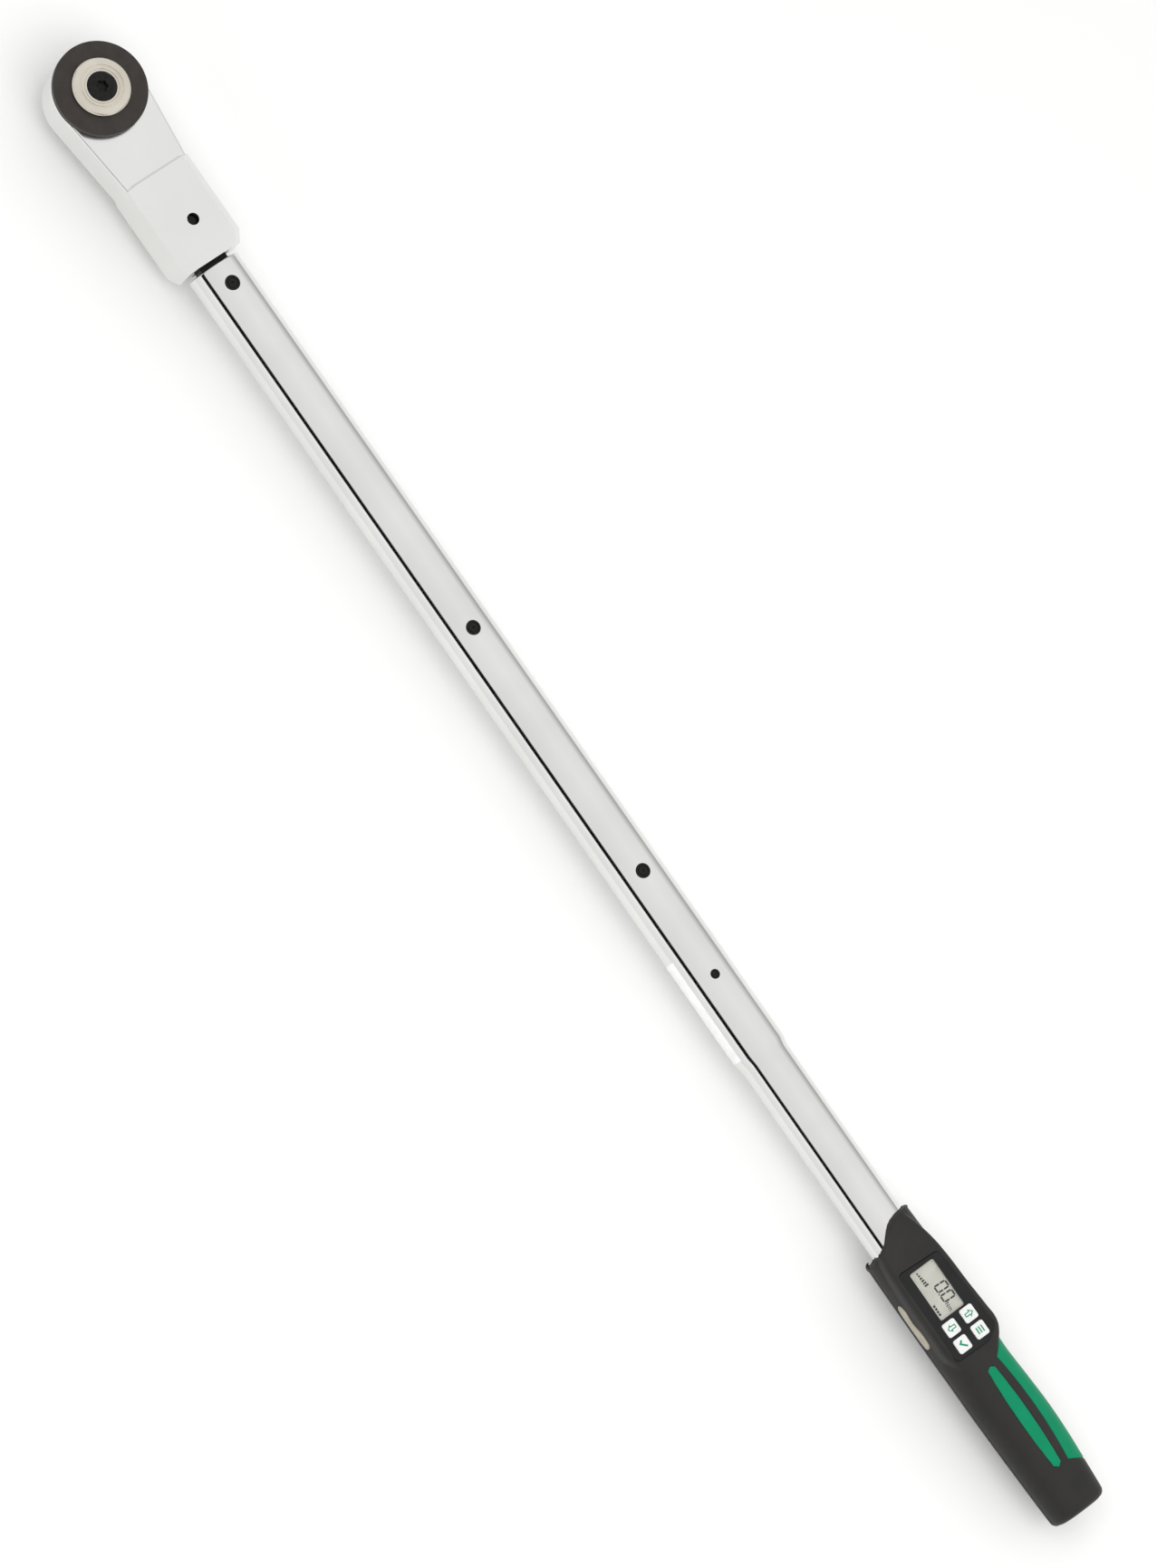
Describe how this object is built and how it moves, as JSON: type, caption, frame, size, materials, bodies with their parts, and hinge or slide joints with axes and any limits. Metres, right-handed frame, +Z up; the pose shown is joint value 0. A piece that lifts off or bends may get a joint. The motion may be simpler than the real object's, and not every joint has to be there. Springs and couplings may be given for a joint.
{
  "type": "torque wrench",
  "caption": "Long electronic click torque wrench: reversible ratchet head, oval tube, grip with display and keys",
  "frame": {"origin": "centre of the square drive's end face", "axes": "+X from the drive along the tube to the handle, +Z up, on the side of the dial and display"},
  "size_m": [1.2958, 0.0716, 0.068],
  "materials": {
    "satin_steel": "satin chromed forged steel",
    "chromed_tube": "satin chromed drawn tube",
    "black_oxide": "black oxide",
    "dial_black": "moulded, fine matt",
    "turned_steel": "turned, bright",
    "spring_steel": "drawn wire",
    "ground_steel": "ground",
    "copper": "enamelled wire",
    "handle_grey": "soft fine texture",
    "bezel_black": "smooth",
    "window": "clear",
    "lcd": "reflective display",
    "key_white": "moulded",
    "inlay_green": "soft moulded",
    "port_beige": "soft moulded",
    "circuit_board": "solder mask",
    "chip_black": "moulded",
    "silicone": "moulded",
    "seal_black": "moulded",
    "cable_black": "extruded",
    "label_white": "plain",
    "battery": "printed sleeve",
    "bronze": "sintered"
  },
  "bodies": {
    "tube_and_handle": {"tube": "chromed_tube", "range_label": "label_white", "pivot_pin": "black_oxide", "anchor_pins": "black_oxide", "guide_pin": "black_oxide", "return_springs": "spring_steel", "solenoid_body": "ground_steel", "solenoid_coil": "copper", "plunger_spring": "spring_steel", "spacer_rod": "ground_steel", "anchor_block": "ground_steel", "cable_guide": "chip_black", "signal_cable": "cable_black", "handle_shell_upper": "handle_grey", "handle_shell_lower": "handle_grey", "display_bezel": "bezel_black", "lcd_window": "window", "lcd_module": "lcd", "key_mat": "silicone", "main_board": "circuit_board", "board_components": "chip_black", "buzzer": "chip_black", "inlay_top": "inlay_green", "inlay_side": "inlay_green", "usb_socket": "ground_steel", "batteries": "battery", "battery_contacts": "spring_steel", "housing_screws": "black_oxide"},
    "head": {"head_body": "satin_steel", "gear_cover": "satin_steel", "cover_screws": "black_oxide", "spindle_seal": "seal_black", "pawl_pin": "ground_steel", "bending_lever": "ground_steel", "lock_spring": "spring_steel", "strain_gauges": "bronze", "pivot_bushes": "bronze"},
    "drive": {"drive_spindle": "satin_steel", "dial_hub": "turned_steel", "hub_screw": "black_oxide", "anvil_spring": "spring_steel"},
    "socket_ball": {"anvil_ball": "ground_steel"},
    "dial": {"reversing_dial": "dial_black", "selector_pin": "ground_steel", "dial_detent_ball": "ground_steel", "dial_detent_spring": "spring_steel"},
    "pawl": {"rocker_pawl": "ground_steel"},
    "lock": {"lock_plunger": "ground_steel"},
    "latch": {"release_latch": "ground_steel"},
    "plunger": {"solenoid_plunger": "ground_steel"},
    "up_button": {"key_up": "key_white"},
    "menu_button": {"key_menu": "key_white"},
    "down_button": {"key_down": "key_white"},
    "enter_button": {"key_enter": "key_white"},
    "port_flap": {"port_cover": "port_beige"},
    "battery_door": {"battery_cover": "handle_grey"}
  },
  "joints": [
    {"name": "head_click", "type": "hinge", "parent": "tube_and_handle", "child": "head", "pos_m": [0.1707, 0, 0.041], "axis": [0, 0, 1], "range_deg": [-1.5, 1.5], "stiffness_Nm_per_rad": 4000, "deforming": ["return_springs"]},
    {"name": "drive_spin", "type": "hinge", "parent": "head", "child": "drive", "pos_m": [0, 0, 0], "axis": [0, 0, 1], "continuous": true},
    {"name": "ball_press", "type": "slide", "parent": "drive", "child": "socket_ball", "axis": [0, 1, 0], "range_m": [0, 0.001], "stiffness_N_per_m": 900, "springref_m": -0.001, "deforming": ["anvil_spring"]},
    {"name": "dial_turn", "type": "hinge", "parent": "head", "child": "dial", "pos_m": [0, 0, 0], "axis": [0, 0, 1], "range_deg": [-30, 0]},
    {"name": "pawl_rock", "type": "hinge", "parent": "head", "child": "pawl", "pos_m": [0.038, 0, 0.041], "axis": [0, 0, 1], "range_deg": [-10, 0]},
    {"name": "lock_press", "type": "slide", "parent": "head", "child": "lock", "axis": [0, 0, -1], "range_m": [0, 0.0082], "stiffness_N_per_m": 1500, "springref_m": -0.003, "deforming": ["lock_spring"]},
    {"name": "latch_tilt", "type": "hinge", "parent": "tube_and_handle", "child": "latch", "pos_m": [0.4773, 0, 0.041], "axis": [0, 0, 1], "range_deg": [-9, 9]},
    {"name": "plunger_pull", "type": "slide", "parent": "tube_and_handle", "child": "plunger", "axis": [1, 0, 0], "range_m": [0, 0.003], "stiffness_N_per_m": 1200, "springref_m": -0.002, "deforming": ["plunger_spring"]},
    {"name": "up_press", "type": "slide", "parent": "tube_and_handle", "child": "up_button", "axis": [0, 0, -1], "range_m": [0, 0.0006], "stiffness_N_per_m": 3000, "springref_m": -0.0003},
    {"name": "menu_press", "type": "slide", "parent": "tube_and_handle", "child": "menu_button", "axis": [0, 0, -1], "range_m": [0, 0.0006], "stiffness_N_per_m": 3000, "springref_m": -0.0003},
    {"name": "down_press", "type": "slide", "parent": "tube_and_handle", "child": "down_button", "axis": [0, 0, -1], "range_m": [0, 0.0006], "stiffness_N_per_m": 3000, "springref_m": -0.0003},
    {"name": "enter_press", "type": "slide", "parent": "tube_and_handle", "child": "enter_button", "axis": [0, 0, -1], "range_m": [0, 0.0006], "stiffness_N_per_m": 3000, "springref_m": -0.0003},
    {"name": "port_open", "type": "hinge", "parent": "tube_and_handle", "child": "port_flap", "pos_m": [1.0614, -0.0275, 0.044], "axis": [0, 0, -1], "range_deg": [0, 100]},
    {"name": "battery_open", "type": "hinge", "parent": "tube_and_handle", "child": "battery_door", "pos_m": [1.23615, 0, 0.02465], "axis": [0, 1, 0], "range_deg": [-100, 0]}
  ],
  "couplings": [
    {"joint": "pawl_rock", "follows": "dial_turn", "ratio": 0.33333},
    {"joint": "latch_tilt", "follows": "head_click", "ratio": -5.6943}
  ]
}
